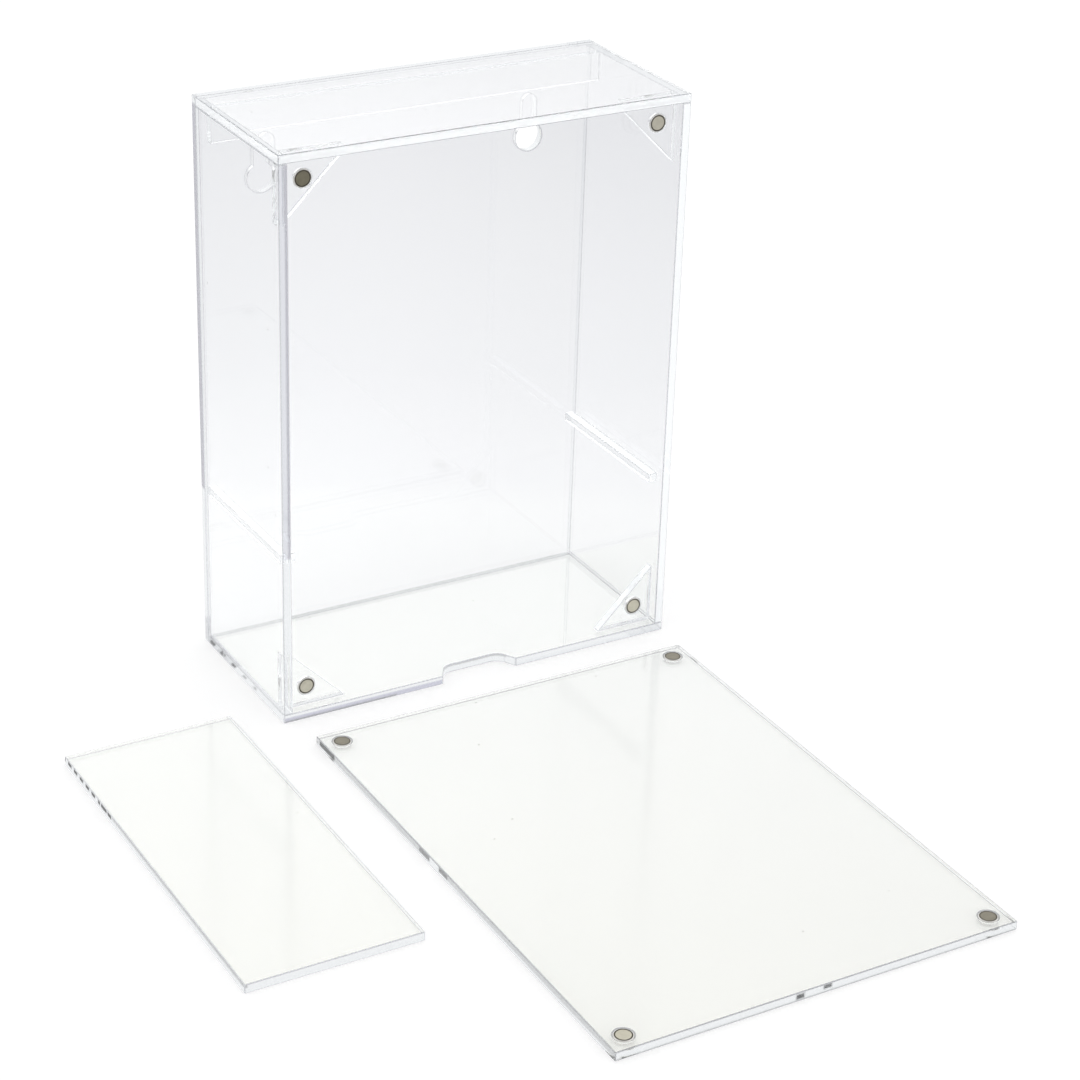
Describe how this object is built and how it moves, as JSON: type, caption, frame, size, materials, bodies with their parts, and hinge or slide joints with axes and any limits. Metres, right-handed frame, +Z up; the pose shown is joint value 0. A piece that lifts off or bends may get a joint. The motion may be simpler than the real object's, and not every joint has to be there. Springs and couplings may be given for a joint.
{
  "type": "display case",
  "caption": "Clear acrylic display case for a model car, with a lift-off door held by magnets, a loose shelf on ledges and keyholes for hanging it on a wall.",
  "frame": {"origin": "centre of the case's footprint, on the surface it stands on", "axes": "+X to the case's right seen from the front, +Y to its back panel, +Z up; the door and the shelf lie on the same surface, in front and to the left"},
  "size_m": [0.2102, 0.2587, 0.188],
  "materials": {
    "clear_acrylic": "clear polished sheet with laser-cut edges",
    "magnet_nickel": "nickel plate, slightly satin"
  },
  "bodies": {
    "case": {"left_wall": "clear_acrylic", "right_wall": "clear_acrylic", "top_panel": "clear_acrylic", "bottom_panel": "clear_acrylic", "back_panel": "clear_acrylic", "header_strip": "clear_acrylic", "left_shelf_ledge": "clear_acrylic", "right_shelf_ledge": "clear_acrylic", "upper_left_gusset": "clear_acrylic", "upper_right_gusset": "clear_acrylic", "lower_left_gusset": "clear_acrylic", "lower_right_gusset": "clear_acrylic", "upper_left_case_magnet": "magnet_nickel", "upper_right_case_magnet": "magnet_nickel", "lower_left_case_magnet": "magnet_nickel", "lower_right_case_magnet": "magnet_nickel"},
    "door": {"door_panel": "clear_acrylic", "upper_left_door_magnet": "magnet_nickel", "upper_right_door_magnet": "magnet_nickel", "lower_left_door_magnet": "magnet_nickel", "lower_right_door_magnet": "magnet_nickel"},
    "shelf": {"shelf_plate": "clear_acrylic"}
  },
  "joints": [
    {"name": "door_close", "type": "hinge", "parent": "case", "child": "door", "pos_m": [0, -0.03695, -0.00645], "axis": [-1, 0, 0], "range_deg": [0, 90]},
    {"name": "shelf_lift", "type": "slide", "parent": "case", "child": "shelf", "axis": [0, 0, 1], "range_m": [0, 0.058]}
  ]
}
